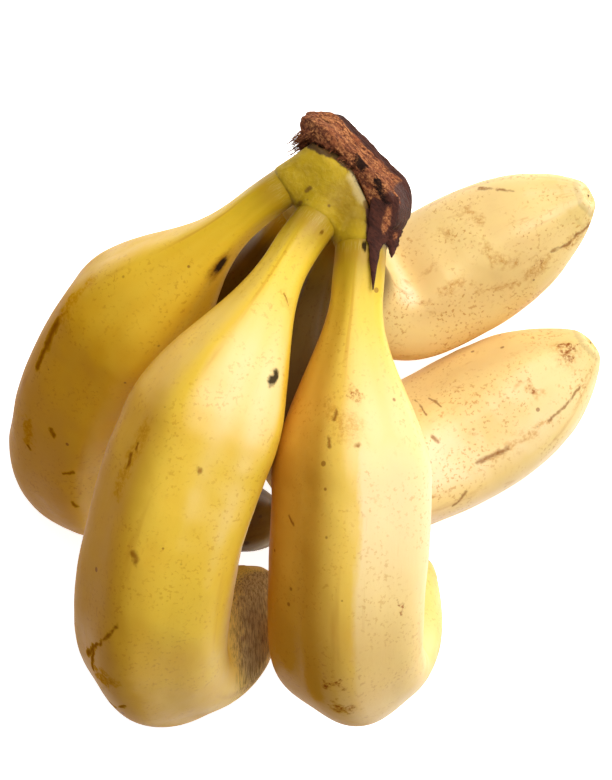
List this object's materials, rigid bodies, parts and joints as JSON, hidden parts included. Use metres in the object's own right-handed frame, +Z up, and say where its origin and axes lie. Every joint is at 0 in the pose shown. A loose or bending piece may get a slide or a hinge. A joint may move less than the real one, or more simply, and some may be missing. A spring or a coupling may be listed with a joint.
{
  "type": "hand of yellow bananas",
  "caption": "Hand of ripe yellow dessert bananas joined at a fleshy crown with a dried brown cut, lying on a surface as food or display fruit.",
  "frame": {"origin": "centre of the bounding box's base, on the surface that the bananas lie on", "axes": "+Z up from that surface; +Y from the bananas' bent middles towards the crown; +X towards the tips of the two bananas at the back right"},
  "size_m": [0.1625, 0.1575, 0.1201],
  "materials": {
    "peel": "satin banana peel, ripe yellow with brown speckles",
    "crown_flesh": "satin olive-yellow stalk skin",
    "dried_cut": "dry, rough and fibrous"
  },
  "bodies": {
    "root": {"banana_front_left": "peel", "banana_front_middle": "peel", "banana_front_right": "peel", "banana_back_upper": "peel", "banana_back_lower": "peel", "banana_back_inner": "peel", "crown": "crown_flesh", "crown_cut": "dried_cut"}
  },
  "joints": []
}
